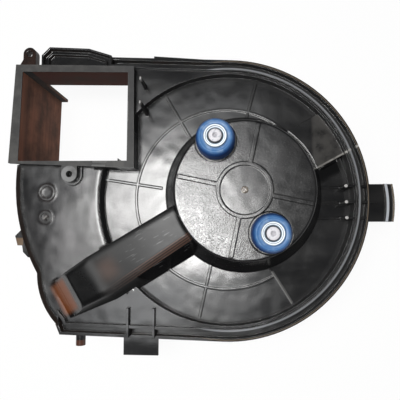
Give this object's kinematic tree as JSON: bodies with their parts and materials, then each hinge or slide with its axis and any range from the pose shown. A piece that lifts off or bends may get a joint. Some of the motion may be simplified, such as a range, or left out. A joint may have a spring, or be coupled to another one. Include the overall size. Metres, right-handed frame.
{
  "type": "car cabin blower",
  "caption": "Scroll blower for a car's cabin air: two-part moulded housing with a framed outlet shaft, a brush motor hung on rubber mounts in a cup with a cooling duct, and a squirrel-cage wheel.",
  "frame": {"origin": "on the motor axis, at the throat of the inlet, where its flare ends and its straight collar begins", "axes": "+Z along the motor axis, from the inlet up to the motor cup; +X away from the outlet shaft, towards the side tab; +Y towards the outlet window"},
  "size_m": [0.3409, 0.2815, 0.1333],
  "materials": {
    "housing": "satin moulded",
    "wheel": "satin moulded",
    "plain_plastic": "matte",
    "mount_rubber": "smooth",
    "steel": "bright",
    "zinc_steel": "zinc plated",
    "spring_steel": "dark",
    "core_steel": "laminated",
    "copper": "enamelled",
    "bronze": "sintered",
    "ferrite": "matte"
  },
  "bodies": {
    "housing": {"scroll_cover": "housing", "scroll_base": "housing", "motor_can": "zinc_steel", "motor_end_cap": "zinc_steel", "motor_bracket": "zinc_steel", "lower_bearing": "bronze", "upper_bearing": "bronze", "field_magnet_front": "ferrite", "field_magnet_rear": "ferrite", "brush_holder": "plain_plastic", "carbon_brushes": "ferrite", "brush_springs": "spring_steel", "mount_bush_upper": "mount_rubber", "mount_bush_lower": "mount_rubber", "mount_sleeves": "steel", "mount_washers": "zinc_steel", "mount_screws": "steel", "weld_nuts": "steel", "connector_socket": "plain_plastic", "terminal_blades": "bronze"},
    "rotor": {"fan_wheel": "wheel", "wheel_clip": "spring_steel", "motor_shaft": "steel", "armature_core": "core_steel", "armature_winding": "copper", "commutator": "copper", "thrust_washer": "plain_plastic"}
  },
  "joints": [
    {"name": "fan_spin", "type": "hinge", "parent": "housing", "child": "rotor", "pos_m": [0, 0, 0], "axis": [0, 0, 1], "continuous": true}
  ]
}
